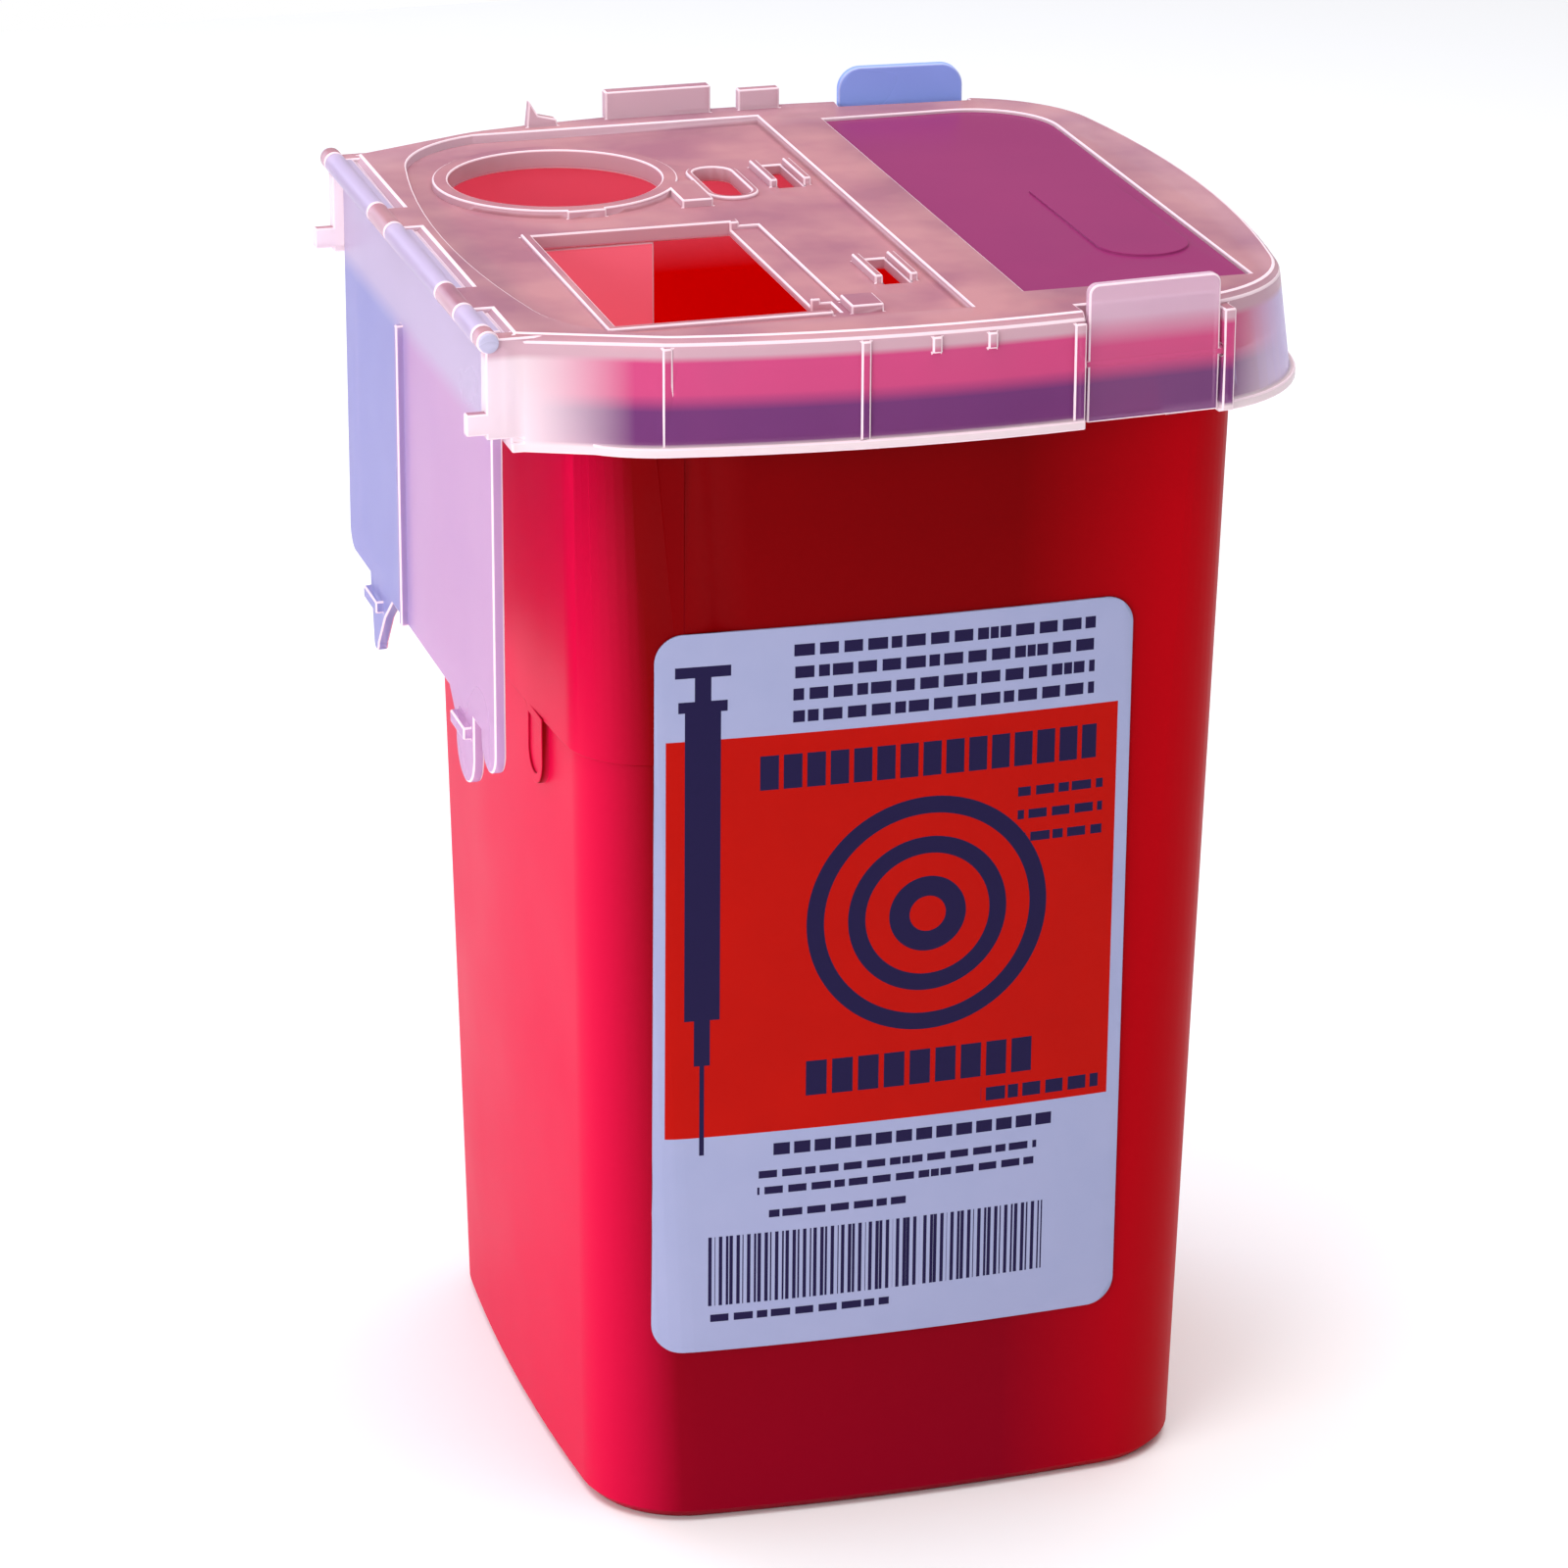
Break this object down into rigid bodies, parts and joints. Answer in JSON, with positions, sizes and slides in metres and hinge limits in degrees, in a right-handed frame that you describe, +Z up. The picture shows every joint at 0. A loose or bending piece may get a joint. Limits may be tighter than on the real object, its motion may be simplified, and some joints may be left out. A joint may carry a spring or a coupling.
{
  "type": "sharps container",
  "caption": "Tapered square tub with a translucent removable lid, drop openings, window panel, rocking lock tabs and a hinged closure flap hanging open at the side.",
  "frame": {"origin": "centre of the tub's base, on the plane that it stands on", "axes": "+Z up, -Y towards the face with the label, -X towards the closure flap's hinge"},
  "size_m": [0.1083, 0.1056, 0.1609],
  "materials": {
    "tub_plastic": "satin moulded polypropylene",
    "label_card": "printed film label",
    "lid_plastic": "translucent milky polypropylene",
    "panel_plastic": "clear smooth plastic",
    "flap_plastic": "translucent milky polypropylene",
    "pin_plastic": "smooth plastic rod",
    "tab_plastic": "translucent polypropylene"
  },
  "bodies": {
    "tub_body": {"tub": "tub_plastic", "front_label": "label_card"},
    "lid_body": {"lid_shell": "lid_plastic", "window_panel": "panel_plastic", "drop_baffle": "lid_plastic", "hinge_pin": "pin_plastic"},
    "flap_body": {"closure_flap": "flap_plastic"},
    "front_tab_body": {"front_lock_tab": "tab_plastic"},
    "rear_tab_body": {"rear_lock_tab": "tab_plastic"}
  },
  "joints": [
    {"name": "lid_lift", "type": "slide", "parent": "tub_body", "child": "lid_body", "axis": [0, 0, 1], "range_m": [0, 0.05]},
    {"name": "flap_hinge", "type": "hinge", "parent": "lid_body", "child": "flap_body", "pos_m": [-0.0522, 0, 0.1558], "axis": [0, 1, 0], "range_deg": [0, 270]},
    {"name": "front_tab_rock", "type": "hinge", "parent": "lid_body", "child": "front_tab_body", "pos_m": [0.02636, -0.05, 0.15], "axis": [-0.9976, -0.0698, 0], "range_deg": [0, 8], "stiffness_Nm_per_rad": 0.02},
    {"name": "rear_tab_rock", "type": "hinge", "parent": "lid_body", "child": "rear_tab_body", "pos_m": [0.02636, 0.0506, 0.15], "axis": [0.9976, -0.0698, 0], "range_deg": [0, 8], "stiffness_Nm_per_rad": 0.02}
  ]
}
